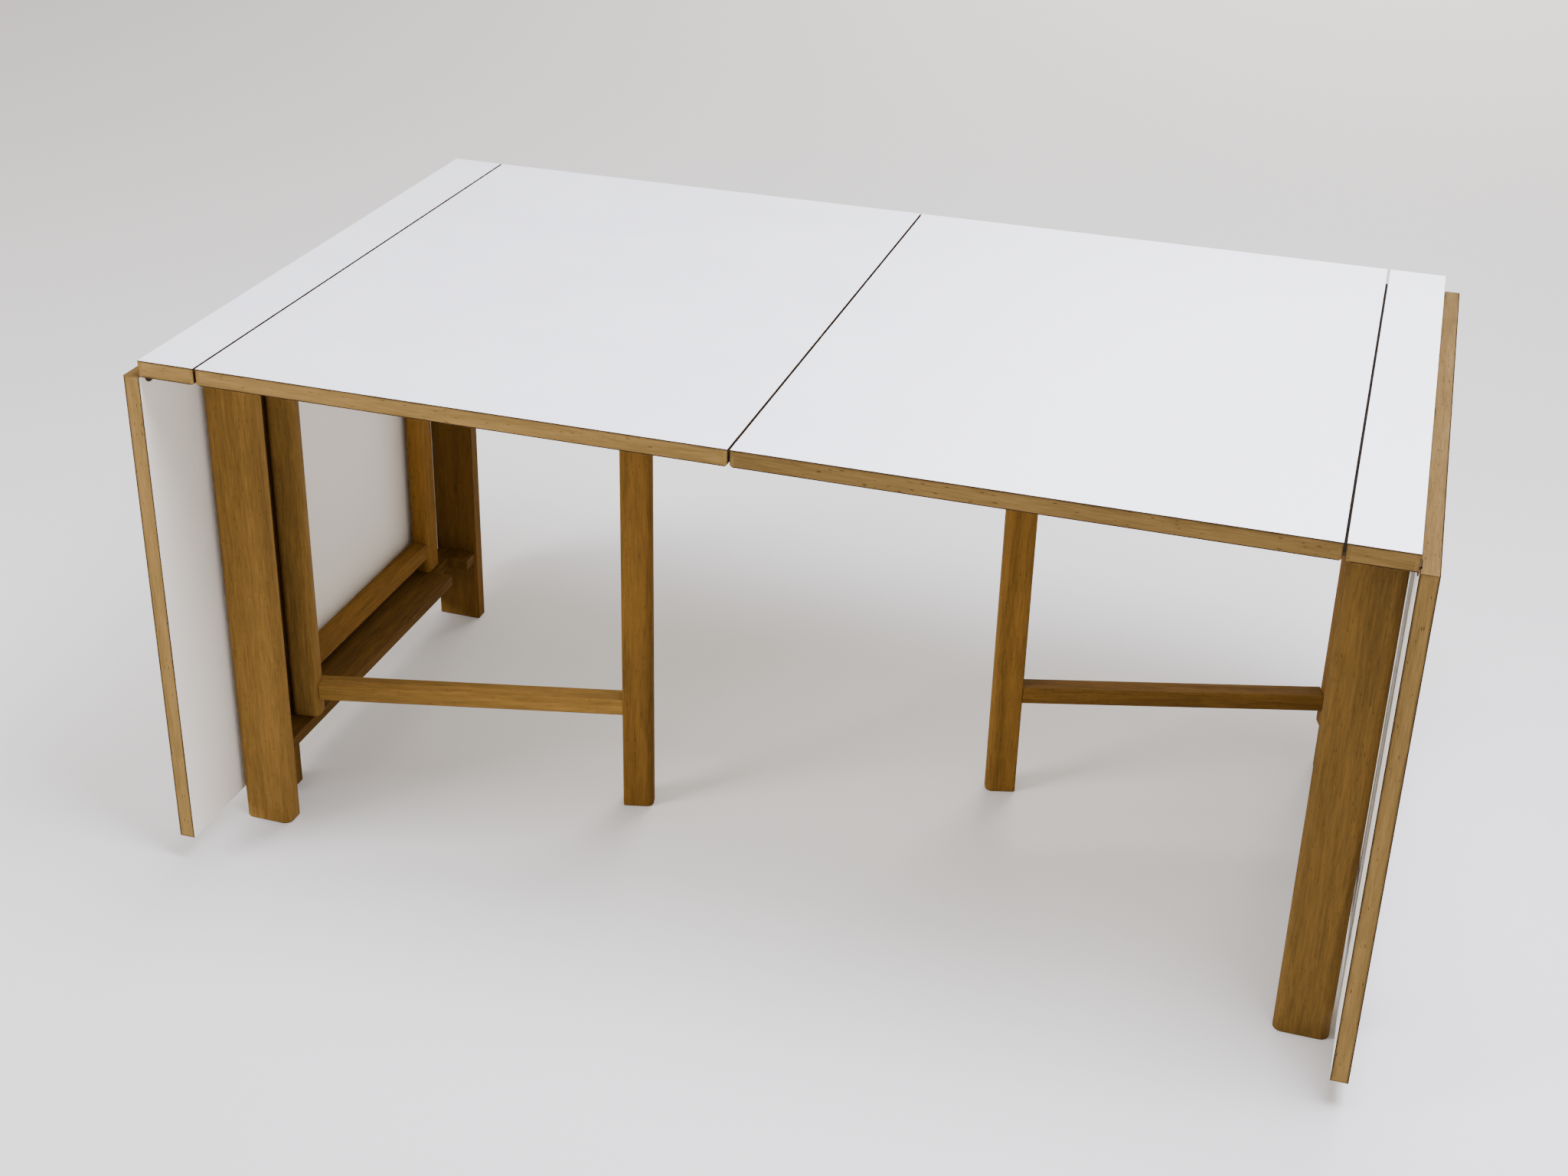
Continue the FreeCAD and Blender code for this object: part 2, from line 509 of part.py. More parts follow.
leg = cut("leg", leg_stock, mortises)

# Concealed middle hinges in the leaves' edges: a barrel with a fixed link on the left, slotted on the right.
barrel = ("barrel_radius", "barrel_length")
link_length = "link_reach + seam_gap / 2 + barrel_length / 2"
link_x = f"link_reach - ({link_length}) / 2"
slot_length = "link_reach + link_spare"
link_slot_size = (slot_length, "link_thickness + 2 * link_gap", f"2 * barrel_radius + 2 * {OVERCUT}")
linked_barrels = []
slotted_barrels = []
for i, y in enumerate(BARREL_PLACES):
    left_barrel = rod(f"left_barrel_{i}", *barrel, ("-seam_gap / 2 - barrel_length", y, BARREL_Z), "X")
    link = box(f"link_{i}", (link_length, "link_thickness", "link_height"),
               (link_x, y, f"{BARREL_Z} - link_height / 2"))
    linked_barrels.append(fuse(f"linked_barrel_{i}", (left_barrel, link)))
    right_barrel = rod(f"right_barrel_{i}", *barrel, ("seam_gap / 2", y, BARREL_Z), "X")
    slot = box(f"link_slot_{i}", link_slot_size,
               (f"({slot_length}) / 2", y, f"{BARREL_Z} - barrel_radius - {OVERCUT}"))
    slotted_barrels.append(cut(f"slotted_barrel_{i}", right_barrel, (slot,)))

HANG = (f"-{OUTER_AXIS}", "0", UNDERSIDE)
for half in ("left", "right"):
    for kind, pieces in panels["strip"].items():
        node(f"{half}_strip_{kind}", pieces, half)
    for kind, pieces in panels["inner_leaf"].items():
        node(f"{half}_inner_leaf_{kind}", pieces, half)
    for kind, pieces in panels["outer_leaf"].items():
        node(f"{half}_outer_leaf_{kind}", pieces, half, HANG, hang=-90)
    front, rear = ("front", "rear") if half == "left" else ("rear", "front")
    node(f"{half}_{front}_board", (board,), half, (f"-{FRAME_X}", f"-{BOARD_Y}", "0"))
    node(f"{half}_{rear}_board", (board,), half, (f"-{FRAME_X}", BOARD_Y, "0"), "180")
    node(f"{half}_stretcher", (stretcher,), half)
    node(f"{half}_frame_dowels", dowels, half)
    node(f"{half}_gate_pivot_pins", pivot_pins, half)
    node(f"{half}_gate_washers", washers, half)
    node(f"{half}_strip_hinge_plates", strip_hinges["strip_plate"], half)
    node(f"{half}_hinge_pins", strip_hinges["pin"], half)
    node(f"{half}_strip_hinge_screws", strip_hinges["strip_screws"], half)
    node(f"{half}_inner_leaf_hinge_plates", inner_hinges["leaf_plate"], half)
    node(f"{half}_inner_leaf_hinge_screws", inner_hinges["leaf_screws"], half)
    node(f"{half}_outer_leaf_hinge_plates", outer_hinges["leaf_plate"], half, HANG, hang=-90)
    node(f"{half}_outer_leaf_hinge_screws", outer_hinges["leaf_screws"], half, HANG, hang=-90)
    for gate, turn in (("inner", f"90 - {half}_open_angle"), ("outer", "-90")):
        x, y = PIVOTS[gate]
        node(f"{half}_{gate}_gate_post", (post,), half, (x, y, "0"), turn)
        node(f"{half}_{gate}_gate_leg", (leg,), half, (x, y, "0"), turn)
        node(f"{half}_{gate}_gate_rails", rails, half, (x, y, "0"), turn)
node("left_middle_hinge_barrels", linked_barrels)
node("right_middle_hinge_barrels", slotted_barrels)

doc.recompute()
for thing in doc.Objects:
    if "Invalid" in thing.State or "Error" in thing.State:
        raise RuntimeError(f"{thing.Label} did not compute: {thing.State}")
for part in NODES:
    if part.Shape.isNull() or not part.Shape.isValid():
        raise RuntimeError(f"{part.Label} has no valid shape")

os.makedirs("parts", exist_ok=True)
for part in NODES:
    part.Shape.exportStep(f"parts/{part.Label}.step")
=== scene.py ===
import math

import bpy
from mathutils import Euler, Matrix, Vector

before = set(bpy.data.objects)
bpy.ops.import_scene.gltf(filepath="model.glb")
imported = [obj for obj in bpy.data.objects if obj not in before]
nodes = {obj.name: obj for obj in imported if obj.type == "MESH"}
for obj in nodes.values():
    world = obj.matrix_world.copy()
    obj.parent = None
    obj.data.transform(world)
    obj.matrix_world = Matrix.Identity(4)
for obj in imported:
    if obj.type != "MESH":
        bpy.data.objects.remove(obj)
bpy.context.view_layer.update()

HALVES = ("left", "right")
MM = 0.001

# How a pattern turns so that its first axis follows the grain. The open gates stand this many degrees off X.
GATE_ANGLES = {"left": 13.9, "right": 16.5}
ALONG_X = (0, 0, 0)
ALONG_Y = (0, 0, -math.pi / 2)
ALONG_Z = (0, math.pi / 2, 0)
ALONG_GATE = {half: (0, 0, -math.radians(angle)) for half, angle in GATE_ANGLES.items()}


def linear(colour):
    """An sRGB hex colour as linear red, green, blue and alpha."""
    parts = [int(colour[i:i + 2], 16) / 255 for i in (1, 3, 5)]
    return [c / 12.92 if c <= 0.04045 else ((c + 0.055) / 1.055) ** 2.4 for c in parts] + [1.0]


def add(tree, kind, inputs, **settings):
    """Adds one shader node. An input is a value, or another node's output to link."""
    node = tree.nodes.new(kind)
    for name, value in settings.items():
        setattr(node, name, value)
    for key, value in inputs.items():
        if isinstance(value, bpy.types.NodeSocket):
            tree.links.new(value, node.inputs[key])
        else:
            node.inputs[key].default_value = value
    return node


def start(name, sockets):
    """A new material with one principled shader, whose even values are set on its own sockets."""
    material = bpy.data.materials.new(name)
    material.use_nodes = True
    tree = material.node_tree
    shader = tree.nodes["Principled BSDF"]
    for key, value in sockets.items():
        shader.inputs[key].default_value = value
    return material, tree, shader


def per_mm(along, across):
    """Pattern scale from a real size in millimetres, along the grain and across it."""
    return (1 / (along * MM), 1 / (across * MM), 1 / (across * MM))


def reach_in_grain(name, turn):
    """Middle and half size of a CAD node, measured along and across its grain."""
    spin = Euler(turn).to_matrix()
    points = [spin @ vertex.co for vertex in nodes[name].data.vertices]
    low = Vector([min(point[i] for point in points) for i in range(3)])
    high = Vector([max(point[i] for point in points) for i in range(3)])
    return (low + high) / 2, (high - low) / 2


# Arrises, in millimetres: the width that is darkest, the width where the dark ends, and the size of the
# patches that cloths have kept clean. Then how dark an arris is in a clean patch and outside one.
ARRIS_DARKEST = 0.7
ARRIS_WIDTH = 2
CLEAN_PATCH = 40
ARRIS_SHARES = (0.27, 0.6)


def dark_arris(tree, grain, middle, half):
    """How dark a piece's arrises are: most at the very edge, and nothing further in."""
    off = add(tree, "ShaderNodeVectorMath", {0: grain, 1: middle}, operation="SUBTRACT")
    out = add(tree, "ShaderNodeVectorMath", {0: off.outputs[0]}, operation="ABSOLUTE")
    inside = add(tree, "ShaderNodeVectorMath", {0: half, 1: out.outputs[0]}, operation="SUBTRACT")
    a, b, c = add(tree, "ShaderNodeSeparateXYZ", {0: inside.outputs[0]}).outputs
    # The second smallest depth below the three pairs of faces is small only along an arris.
    near = add(tree, "ShaderNodeMath", {0: a, 1: b}, operation="MINIMUM")
    far = add(tree, "ShaderNodeMath", {0: a, 1: b}, operation="MAXIMUM")
    third = add(tree, "ShaderNodeMath", {0: far.outputs[0], 1: c}, operation="MINIMUM")
    second = add(tree, "ShaderNodeMath", {0: near.outputs[0], 1: third.outputs[0]}, operation="MAXIMUM")
    edge = add(tree, "ShaderNodeMapRange", {
        "Value": second.outputs[0], "From Min": ARRIS_DARKEST * MM, "From Max": ARRIS_WIDTH * MM,
        "To Min": 1, "To Max": 0})
    patches = add(tree, "ShaderNodeTexNoise", {"Vector": grain, "Scale": 1 / (CLEAN_PATCH * MM), "Detail": 4})
    kept = add(tree, "ShaderNodeMapRange", {
        "Value": patches.outputs["Fac"], "From Min": 0.36, "From Max": 0.6,
        "To Min": ARRIS_SHARES[0], "To Max": ARRIS_SHARES[1]})
    return add(tree, "ShaderNodeMath", {0: edge.outputs[0], 1: kept.outputs[0]}, operation="MULTIPLY")


# Beech patterns, in millimetres along and across the grain. The stain has taken unevenly, in long clouds
# that wander with the year rings. Real fibres are about 0.2 mm wide; streaks of 1.7 mm with finer detail in
# them are what still shows in the render.
CLOUD = (240, 16)
STREAK = (34, 1.7)
CLOUD_SHARE = 0.45
# Flecks: the cell that can hold one, along and across the grain in millimetres, the share of cells that do,
# and how far a fleck darkens the wood. They are drawn about twice as large as they are.
STAINED_FLECKS = (11, 1.8, 0.65, 0.55)
LIPPING_FLECKS = (13, 2.8, 0.75, 0.68)
# The largest fleck and the width of its soft rim, as shares of its cell.
FLECK_REACH = 0.3
FLECK_RIM = 0.1
# Depth of the open grain in millimetres.
GRAIN_DEPTH = 0.15
# Pale wood, deep wood and flecks. Most lengths have kept their stain; on a few it has faded a little.
STAINED_TONES = ("#7E5A25", "#5D431B", "#2A1908")
FADED_TONES = ("#7C5D2C", "#5B4520", "#291A0A")
LIPPING_TONES = ("#886C3E", "#6B552E", "#332211")
RAW_TONES = ("#C9A877", "#A98453", "#6E5230")
# Oil leaves the wood with little gloss of its own.
OILED = {"IOR": 1.5, "Specular IOR Level": 0.06}


def beech(tree, shader, grain, tones, shade, flecks, edge_darkening):
    """Beech, planed and oiled: soft clouds and short streaks along the grain, many small ray flecks, and
    arrises darkened by hands. On lips, the ends that meet another panel are darkened too, as painted shade."""
    # The shade factor scales every tone. Besides the timber's own tone, it carries painted light and shade.
    pale, deep, fleck = ([c * shade for c in linear(tone)[:3]] + [1.0] for tone in tones)
    fleck_along, fleck_across, fleck_share, fleck_depth = flecks
    scaled = {}
    for part, size in (("cloud", CLOUD), ("streak", STREAK), ("fleck", (fleck_along, fleck_across))):
        scaled[part] = add(tree, "ShaderNodeVectorMath", {0: grain, 1: per_mm(*size)},
                           operation="MULTIPLY").outputs[0]
    cloud = add(tree, "ShaderNodeTexNoise", {
        "Vector": scaled["cloud"], "Scale": 1, "Detail": 3, "Roughness": 0.6, "Distortion": 0.5})
    streak = add(tree, "ShaderNodeTexNoise", {
        "Vector": scaled["streak"], "Scale": 1, "Detail": 4, "Roughness": 0.7})
    clouded = add(tree, "ShaderNodeMath", {0: cloud.outputs["Fac"], 1: CLOUD_SHARE}, operation="MULTIPLY")
    mixed = add(tree, "ShaderNodeMath", {0: streak.outputs["Fac"], 1: 1 - CLOUD_SHARE, 2: clouded.outputs[0]},
                operation="MULTIPLY_ADD")
    tone = add(tree, "ShaderNodeMapRange", {"Value": mixed.outputs[0], "From Min": 0.38, "From Max": 0.62})
    wood = add(tree, "ShaderNodeMix", {0: tone.outputs[0], 6: deep, 7: pale}, data_type="RGBA")
    # Only some of the cells hold a fleck, and these differ in size.
    cells = add(tree, "ShaderNodeTexVoronoi", {"Vector": scaled["fleck"], "Scale": 1, "Randomness": 1})
    chance = add(tree, "ShaderNodeSeparateColor", {0: cells.outputs["Color"]})
    size = add(tree, "ShaderNodeMapRange", {
        "Value": chance.outputs[0], "From Min": 1 - fleck_share, "From Max": 1,
        "To Min": 0, "To Max": FLECK_REACH})
    inside = add(tree, "ShaderNodeMath", {0: size.outputs[0], 1: cells.outputs["Distance"]},
                 operation="SUBTRACT")
    mark = add(tree, "ShaderNodeMapRange", {
        "Value": inside.outputs[0], "From Min": 0, "From Max": FLECK_RIM, "To Max": fleck_depth})
    flecked = add(tree, "ShaderNodeMix", {0: mark.outputs[0], 6: wood.outputs[2], 7: fleck}, data_type="RGBA")
    # Arrises are darkened by hand dirt, and lip ends that meet another panel by painted shade.
    darkened_wood = add(tree, "ShaderNodeMix", {0: edge_darkening.outputs[0], 6: flecked.outputs[2], 7: fleck},
                  data_type="RGBA")
    tree.links.new(darkened_wood.outputs[2], shader.inputs["Base Color"])
    gloss = add(tree, "ShaderNodeMapRange", {
        "Value": mixed.outputs[0], "From Min": 0.35, "From Max": 0.65, "To Min": 0.8, "To Max": 0.7})
    tree.links.new(gloss.outputs[0], shader.inputs["Roughness"])
    # Flecks lie a little lower than the fibres.
    relief = add(tree, "ShaderNodeMath", {0: mark.outputs[0], 1: -0.8, 2: streak.outputs["Fac"]},
                 operation="MULTIPLY_ADD")
    bump = add(tree, "ShaderNodeBump", {
        "Height": relief.outputs[0], "Strength": 0.3, "Distance": GRAIN_DEPTH * MM})
    tree.links.new(bump.outputs[0], shader.inputs["Normal"])


def timber(name, node, turn, tones, shade):
    """One length of beech: the grain follows the piece, and the stain lets darker streaks show."""
    material, tree, shader = start(name, OILED)
    place = add(tree, "ShaderNodeTexCoord", {})
    grain = add(tree, "ShaderNodeMapping", {"Vector": place.outputs["Object"], "Rotation": turn}).outputs[0]
    edge_darkening = dark_arris(tree, grain, *reach_in_grain(node, turn))
    beech(tree, shader, grain, tones, shade, STAINED_FLECKS, edge_darkening)
    return material


# Lips, in millimetres: their thickness, and how far in from an end its painted shade starts and is at its
# full.
LIP_THICKNESS = 5
END_SHADE_START = 0.8
END_SHADE_FULL = 0.3


def lipping_beech(name, node, turn, shade, ends):
    """Solid edge of a panel: paler beech with many flecks. The end lips run across the panel, so their grain
    does too, and their sawn ends show at the corners. The ends that meet another panel are darkened as
    painted shade."""
    material, tree, shader = start(name, OILED)
    middle, half = reach_in_grain(node, turn)
    place = add(tree, "ShaderNodeTexCoord", {})
    lengthwise = add(tree, "ShaderNodeMapping", {"Vector": place.outputs["Object"], "Rotation": turn})
    crosswise = add(tree, "ShaderNodeMapping", {"Vector": lengthwise.outputs[0], "Rotation": ALONG_Y})
    parts = add(tree, "ShaderNodeSeparateXYZ", {0: lengthwise.outputs[0]})
    off = add(tree, "ShaderNodeMath", {0: parts.outputs[0], 1: middle[0]}, operation="SUBTRACT")
    reach = add(tree, "ShaderNodeMath", {0: off.outputs[0]}, operation="ABSOLUTE")
    at_end = add(tree, "ShaderNodeMath", {0: reach.outputs[0], 1: half[0] - LIP_THICKNESS * MM},
                 operation="GREATER_THAN")
    grain = add(tree, "ShaderNodeMix", {
        0: at_end.outputs[0], 4: lengthwise.outputs[0], 5: crosswise.outputs[0]}, data_type="VECTOR")
    edge_darkening = dark_arris(tree, lengthwise.outputs[0], middle, half)
    # Each end that meets another panel is darkened here as painted shade.
    for end, end_shade in ends.items():
        towards = add(tree, "ShaderNodeMath", {0: off.outputs[0], 1: end}, operation="MULTIPLY")
        within = add(tree, "ShaderNodeMapRange", {
            "Value": towards.outputs[0], "From Min": half[0] - END_SHADE_START * MM,
            "From Max": half[0] - END_SHADE_FULL * MM, "To Max": end_shade})
        edge_darkening = add(tree, "ShaderNodeMath", {0: edge_darkening.outputs[0], 1: within.outputs[0]}, operation="MAXIMUM")
    beech(tree, shader, grain.outputs[1], LIPPING_TONES, shade, LIPPING_FLECKS, edge_darkening)
    return material


# Laminate, in millimetres: the white layer on the 1.2 mm sheet, the arris at a seam worn through to the core
# and
# # painted core-dark as the seam's shade too, the clouds where the sheet has been wiped, a hand's width
# across, and the
# # press's pebble and its depth.
WHITE_LAYER = 0.08
SEAM_ARRIS_WORN_AND_SHADED = 0.45
WIPED_CLOUD = 140
PEBBLE = 1.1
PEBBLE_DEPTH = 0.03
# Dull and clean whites of the sheet below, tinted warm as painted bounce light from the wood and floor, and
# of
# # the one on top, tinted cool as painted light from the lamp above.
UNDERSIDE_WHITES_PAINTED_WARM = ("#ECE6DB", "#F2EEE4")
TOPSIDE_WHITES_PAINTED_COOL = ("#E8EAF3", "#F0F2F9")
RESIN_CORE = "#2E2014"


def pressed_laminate(name, node, turn, upper_side, ends):
    """White sheets pressed from paper and resin: an even satin white with a faint pebble, tinted warm on the
    sheet below as painted bounce light and cool on top as painted lamp light, and the brown core as a thin
    dark line along cut edges and along seams, where it is painted shade as well."""
    material, tree, shader = start(name, {"IOR": 1.5})
    middle, half = reach_in_grain(node, turn)
    place = add(tree, "ShaderNodeTexCoord", {})
    turned = add(tree, "ShaderNodeMapping", {"Vector": place.outputs["Object"], "Rotation": turn})
    parts = add(tree, "ShaderNodeSeparateXYZ", {0: turned.outputs[0]})
    off = add(tree, "ShaderNodeMath", {0: parts.outputs[2], 1: middle[2]}, operation="SUBTRACT")
    depth = add(tree, "ShaderNodeMath", {0: off.outputs[0]}, operation="ABSOLUTE")
    face = add(tree, "ShaderNodeMath", {0: depth.outputs[0], 1: half[2] - WHITE_LAYER * MM},
               operation="GREATER_THAN")
    along = add(tree, "ShaderNodeMath", {0: parts.outputs[0], 1: middle[0]}, operation="SUBTRACT")
    # At ends that meet another panel, the arris shows the dark core: worn there, and painted as the seam's
    # shade too.
    for end in ends:
        towards = add(tree, "ShaderNodeMath", {0: along.outputs[0], 1: end}, operation="MULTIPLY")
        off_seam_arris = add(tree, "ShaderNodeMath", {0: towards.outputs[0], 1: half[0] - SEAM_ARRIS_WORN_AND_SHADED * MM},
                     operation="LESS_THAN")
        face = add(tree, "ShaderNodeMath", {0: face.outputs[0], 1: off_seam_arris.outputs[0]}, operation="MULTIPLY")
    clouds = add(tree, "ShaderNodeTexNoise", {
        "Vector": turned.outputs[0], "Scale": 1 / (WIPED_CLOUD * MM), "Detail": 3})
    whites = []
    for dull, clean in (UNDERSIDE_WHITES_PAINTED_WARM, TOPSIDE_WHITES_PAINTED_COOL):
        wiped = add(tree, "ShaderNodeMix", {0: clouds.outputs["Fac"], 6: linear(dull), 7: linear(clean)},
                    data_type="RGBA")
        whites.append(wiped.outputs[2])
    # The sheet on top gets the cool painted lamp light, and the one below gets the warm painted bounce light.
    upper = add(tree, "ShaderNodeMath", {0: off.outputs[0], 1: upper_side}, operation="MULTIPLY")
    above = add(tree, "ShaderNodeMath", {0: upper.outputs[0], 1: 0.0}, operation="GREATER_THAN")
    white = add(tree, "ShaderNodeMix", {0: above.outputs[0], 6: whites[0], 7: whites[1]}, data_type="RGBA")
    colour = add(tree, "ShaderNodeMix", {0: face.outputs[0], 6: linear(RESIN_CORE), 7: white.outputs[2]},
                 data_type="RGBA")
    tree.links.new(colour.outputs[2], shader.inputs["Base Color"])
    gloss = add(tree, "ShaderNodeMapRange", {
        "Value": clouds.outputs["Fac"], "From Min": 0.3, "From Max": 0.7, "To Min": 0.34, "To Max": 0.44})
    tree.links.new(gloss.outputs[0], shader.inputs["Roughness"])
    # The bare core has no gloss.
    shine = add(tree, "ShaderNodeMath", {0: face.outputs[0], 1: 0.5}, operation="MULTIPLY")
    tree.links.new(shine.outputs[0], shader.inputs["Specular IOR Level"])
    pebble = add(tree, "ShaderNodeTexNoise", {
        "Vector": turned.outputs[0], "Scale": 1 / (PEBBLE * MM), "Detail": 1})
    bump = add(tree, "ShaderNodeBump", {
        "Height": pebble.outputs["Fac"], "Strength": 0.15, "Distance": PEBBLE_DEPTH * MM})
    tree.links.new(bump.outputs[0], shader.inputs["Normal"])
    return material


# Chips, in millimetres: their width and how far they stand out.
CHIP = 3
CHIP_DEPTH = 0.3


def raw_chipboard(name):
    """Panel core: pressed chips, dull and speckled, seen only in the drilled holes."""
    material, tree, shader = start(name, {"IOR": 1.45, "Roughness": 0.9})
    place = add(tree, "ShaderNodeTexCoord", {})
    chips = add(tree, "ShaderNodeTexVoronoi", {"Vector": place.outputs["Object"], "Scale": 1 / (CHIP * MM)})
    shade = add(tree, "ShaderNodeSeparateColor", {0: chips.outputs["Color"]})
    colour = add(tree, "ShaderNodeMix", {0: shade.outputs[0], 6: linear("#8B6B41"), 7: linear("#C7A877")},
                 data_type="RGBA")
    tree.links.new(colour.outputs[2], shader.inputs["Base Color"])
    bump = add(tree, "ShaderNodeBump", {
        "Height": chips.outputs["Distance"], "Strength": 0.5, "Distance": CHIP_DEPTH * MM})
    tree.links.new(bump.outputs[0], shader.inputs["Normal"])
    return material


# Depth of the scuffs on steel, in millimetres.
SCUFF_DEPTH = 0.05


def worked_steel(name, tones, gloss, spot):
    """Stamped or turned steel: metallic, with a finish mottled in spots of this many millimetres, and fine
    handling scuffs."""
    material, tree, shader = start(name, {"Metallic": 1.0})
    place = add(tree, "ShaderNodeTexCoord", {})
    mottle = add(tree, "ShaderNodeTexNoise", {
        "Vector": place.outputs["Object"], "Scale": 1 / (spot * MM), "Detail": 4, "Roughness": 0.65})
    colour = add(tree, "ShaderNodeMix", {0: mottle.outputs["Fac"], 6: linear(tones[0]), 7: linear(tones[1])},
                 data_type="RGBA")
    tree.links.new(colour.outputs[2], shader.inputs["Base Color"])
    rough = add(tree, "ShaderNodeMapRange", {
        "Value": mottle.outputs["Fac"], "From Min": 0.3, "From Max": 0.7,
        "To Min": gloss[0], "To Max": gloss[1]})
    tree.links.new(rough.outputs[0], shader.inputs["Roughness"])
    bump = add(tree, "ShaderNodeBump", {
        "Height": mottle.outputs["Fac"], "Strength": 0.2, "Distance": SCUFF_DEPTH * MM})
    tree.links.new(bump.outputs[0], shader.inputs["Normal"])
    return material


def dress(material, *names):
    """Gives CAD nodes their finish."""
    for name in names:
        for slot in nodes[name].material_slots:
            slot.material = material


# Frames and gates. Each length is its own piece of timber, lighter or darker than the next. The factors also
# paint in light and shade: the left half's lengths are lightened and the right half's darkened as painted
# light.
PIECE_TONES_AND_PAINTED_LIGHT = {
    "left": {"front_board": 1.27, "rear_board": 0.76, "stretcher": 0.61, "inner_gate_post": 1.18,
             "inner_gate_leg": 0.82, "inner_gate_rails": 1.38, "outer_gate_post": 1.22, "outer_gate_leg": 0.8,
             "outer_gate_rails": 0.98},
    "right": {"front_board": 0.66, "rear_board": 0.76, "stretcher": 0.65, "inner_gate_post": 0.84,
              "inner_gate_leg": 0.88, "inner_gate_rails": 0.68, "outer_gate_post": 0.8, "outer_gate_leg": 0.8,
              "outer_gate_rails": 0.73},
}
FADED = ("left_front_board", "right_front_board", "left_inner_gate_post", "left_inner_gate_rails")
for half in HALVES:
    for piece, shade in PIECE_TONES_AND_PAINTED_LIGHT[half].items():
        if piece.endswith(("board", "post", "leg")):
            turn = ALONG_Z
        elif piece == "inner_gate_rails":
            turn = ALONG_GATE[half]
        else:
            turn = ALONG_Y
        name = f"{half}_{piece}"
        tones = FADED_TONES if name in FADED else STAINED_TONES
        dress(timber(f"stained_beech_{name}", name, turn, tones, shade), name)

# Panels. The lips come from different boards too. Their factors also paint in light: the left half's lips are
# lightened and the right half's darkened as painted light and shade.
PANELS = (("strip", ALONG_X), ("inner_leaf", ALONG_X), ("outer_leaf", ALONG_Z))
LIP_TONES_AND_PAINTED_LIGHT = {
    "left": {"strip": 0.97, "inner_leaf": 0.97, "outer_leaf": 0.96},
    "right": {"strip": 0.79, "inner_leaf": 0.73, "outer_leaf": 0.87},
}
# How dark the ends that meet another panel are painted, as painted shade: shut in a seam, where the seam's
# shade is
# # painted on, or open on a leaf that hangs, where its top is darkened against the lamp's light. -1 is a
# panel's left end
# # and 1 its right, or its top where it hangs.
SEAM_SHADE_PAINTED = 0.97
HANGING_TOP_SHADE_PAINTED = 0.35
ENDS = {
    "left": {"strip": {1: SEAM_SHADE_PAINTED}, "inner_leaf": {-1: SEAM_SHADE_PAINTED, 1: SEAM_SHADE_PAINTED}, "outer_leaf": {1: HANGING_TOP_SHADE_PAINTED}},
    "right": {"strip": {-1: SEAM_SHADE_PAINTED}, "inner_leaf": {-1: SEAM_SHADE_PAINTED, 1: SEAM_SHADE_PAINTED}, "outer_leaf": {1: HANGING_TOP_SHADE_PAINTED}},
}
chipboard = raw_chipboard("chipboard_pressed")
for half in HALVES:
    for panel, turn in PANELS:
        name = f"{half}_{panel}"
        ends = ENDS[half][panel]
        lipping = f"{name}_lipping"
        dress(lipping_beech(f"oiled_beech_{name}", lipping, turn, LIP_TONES_AND_PAINTED_LIGHT[half][panel], ends), lipping)
        # The face that lies on top when the leaf is up gets the cool white of painted lamp light, and the
        # other face the warm
        #         # white of painted bounce light. The right hanging leaf's pattern faces down.
        upper_side = -1 if name == "right_outer_leaf" else 1
        sheets = f"{name}_laminates"
        dress(pressed_laminate(f"white_laminate_{name}", sheets, turn, upper_side, ends), sheets)
        dress(chipboard, f"{name}_core")

# Ironwork and dowels
bronzed = worked_steel("bronzed_steel_stamped", tones=("#2A211A", "#57483A"), gloss=(0.38, 0.6), spot=2)
zinced = worked_steel("zinced_steel_turned", tones=("#9C9A95", "#C9C7C1"), gloss=(0.28, 0.45), spot=3)
for half in HALVES:
    dress(bronzed, f"{half}_strip_hinge_plates", f"{half}_hinge_pins", f"{half}_strip_hinge_screws")
    for leaf in ("inner_leaf", "outer_leaf"):
        dress(bronzed, f"{half}_{leaf}_hinge_plates", f"{half}_{leaf}_hinge_screws")
    dress(zinced, f"{half}_gate_pivot_pins", f"{half}_gate_washers", f"{half}_middle_hinge_barrels")
    dowels = f"{half}_frame_dowels"
    dress(timber(f"raw_beech_{dowels}", dowels, ALONG_Z, RAW_TONES, 1.0), dowels)

# Floor and light. The floor reaches past every view.
FLOOR_RADIUS = 30
bpy.ops.object.select_all(action="DESELECT")
bpy.ops.mesh.primitive_circle_add(vertices=96, radius=FLOOR_RADIUS, fill_type="NGON")
floor = bpy.context.object
floor.name = "studio_floor"
floor_paint = start("painted_floor", {"Base Color": linear("#DCDBDC"), "Roughness": 0.75})[0]
floor.data.materials.append(floor_paint)

world = bpy.data.worlds.new("studio")
bpy.context.scene.world = world
world.use_nodes = True
background = world.node_tree.nodes["Background"]
background.inputs["Color"].default_value = linear("#FFF1DC")
background.inputs["Strength"].default_value = 0.53


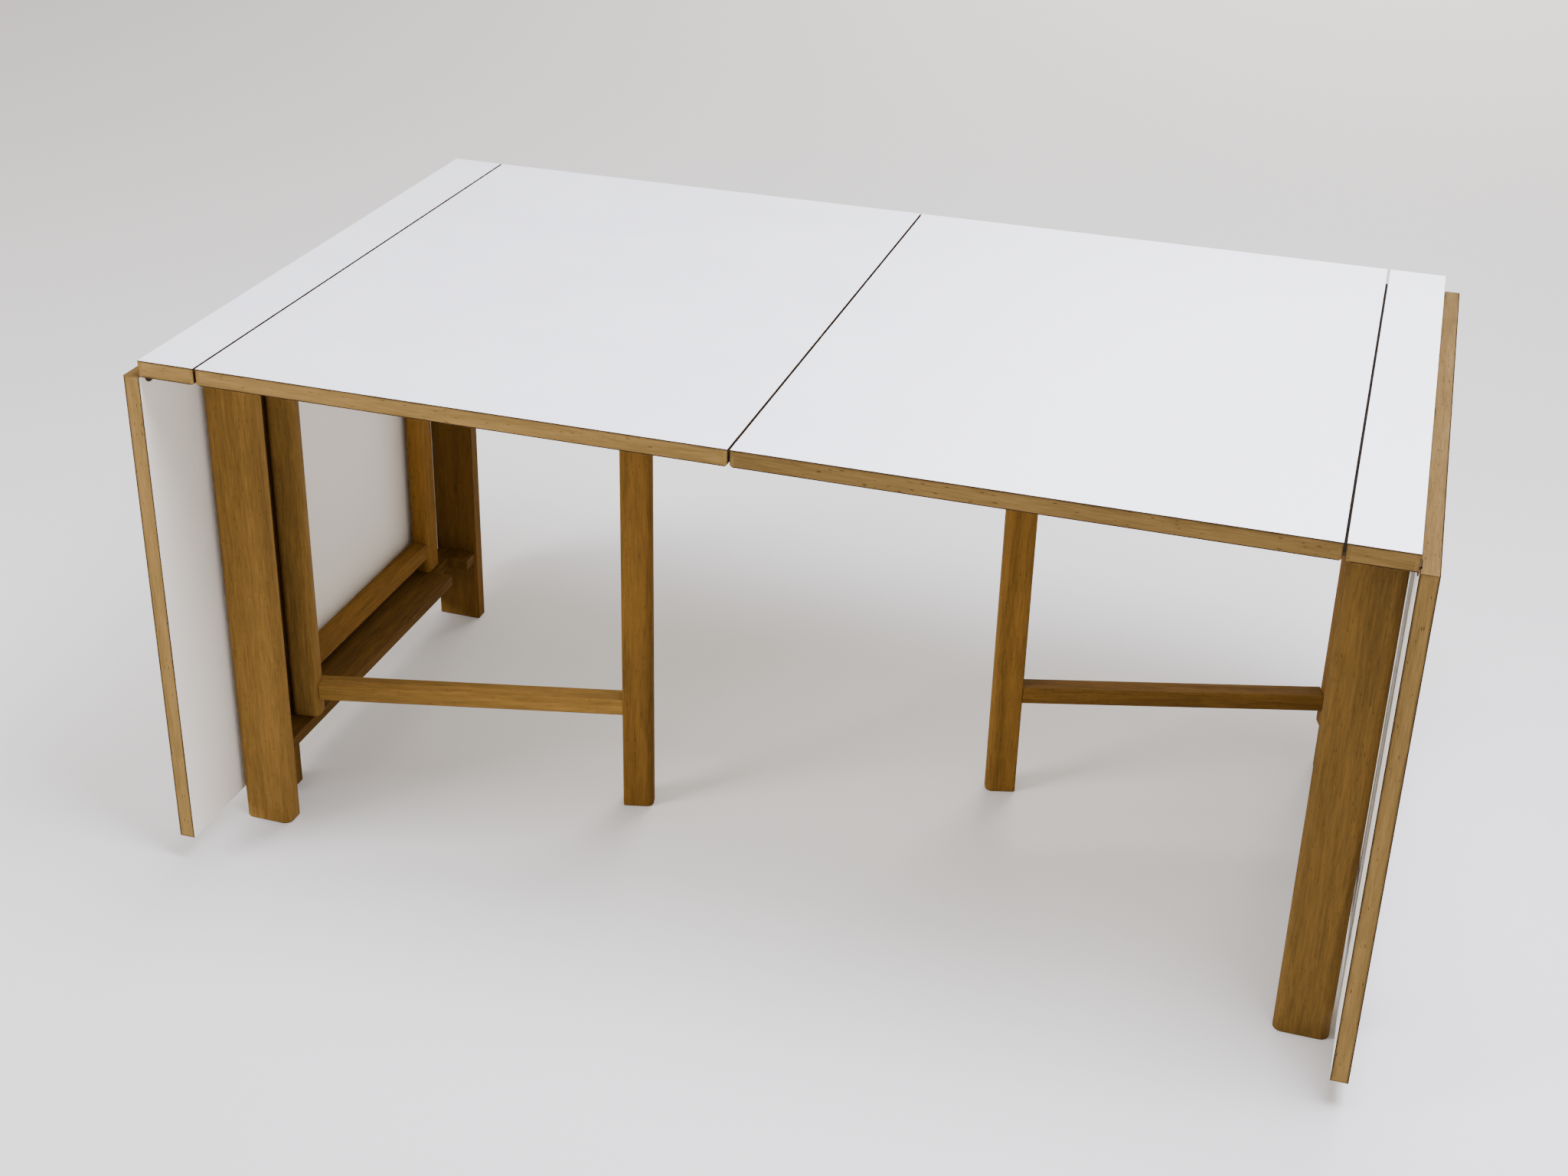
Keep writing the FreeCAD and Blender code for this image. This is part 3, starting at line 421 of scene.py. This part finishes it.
def softbox(name, at, aim, size, power, tint):
    """A square area light that faces a point and isn't seen itself."""
    lamp = bpy.data.lights.new(name, "AREA")
    lamp.size = size
    lamp.energy = power
    lamp.color = linear(tint)[:3]
    box = bpy.data.objects.new(name, lamp)
    bpy.context.collection.objects.link(box)
    box.location = at
    box.rotation_euler = (Vector(aim) - Vector(at)).to_track_quat("-Z", "Y").to_euler()
    box.visible_camera = False


NEUTRAL = "#FFFDFA"
softbox("overhead_softbox", at=(1.1, -0.4, 3.2), aim=(0.8, -0.2, 0.5), size=1.8, power=284, tint="#EEF0FF")
softbox("left_softbox", at=(-3.5, -2.8, 2.0), aim=(-0.4, 0, 0.4), size=2.0, power=250, tint="#FFFEFF")
softbox("rear_softbox", at=(0.5, 6.5, 4.0), aim=(0.2, 5.2, 0), size=4.0, power=450, tint=NEUTRAL)
# The other three only light the floor around, for views from elsewhere.
softbox("front_softbox", at=(0.5, -10, 4.0), aim=(0.5, -11, 0), size=4.0, power=420, tint=NEUTRAL)
softbox("far_left_softbox", at=(-9.5, 0, 4.0), aim=(-10.5, 0, 0), size=4.0, power=420, tint=NEUTRAL)
softbox("far_right_softbox", at=(10, 0, 4.0), aim=(11, 0, 0), size=4.0, power=380, tint=NEUTRAL)

# Camera at the photograph's viewing angle. Its axis meets the photograph away from the middle.
PHOTO_WIDTH = 2048
PHOTO_HEIGHT = 1536
AXIS_PIXEL = (1041.0, 682.4)
lens = bpy.data.cameras.new("camera")
lens.sensor_width = 36
lens.lens = 48.55
lens.shift_x = (PHOTO_WIDTH / 2 - AXIS_PIXEL[0]) / PHOTO_WIDTH
lens.shift_y = (AXIS_PIXEL[1] - PHOTO_HEIGHT / 2) / PHOTO_WIDTH
camera = bpy.data.objects.new("camera", lens)
bpy.context.collection.objects.link(camera)
right = (0.95637, 0.29101, 0.02589)
up = (-0.15177, 0.41914, 0.89515)
back = (0.24965, -0.86002, 0.44502)
eye = (0.66194, -2.44333, 1.68118)
camera.matrix_world = Matrix([[right[i], up[i], back[i], eye[i]] for i in range(3)] + [[0, 0, 0, 1]])
bpy.context.scene.camera = camera
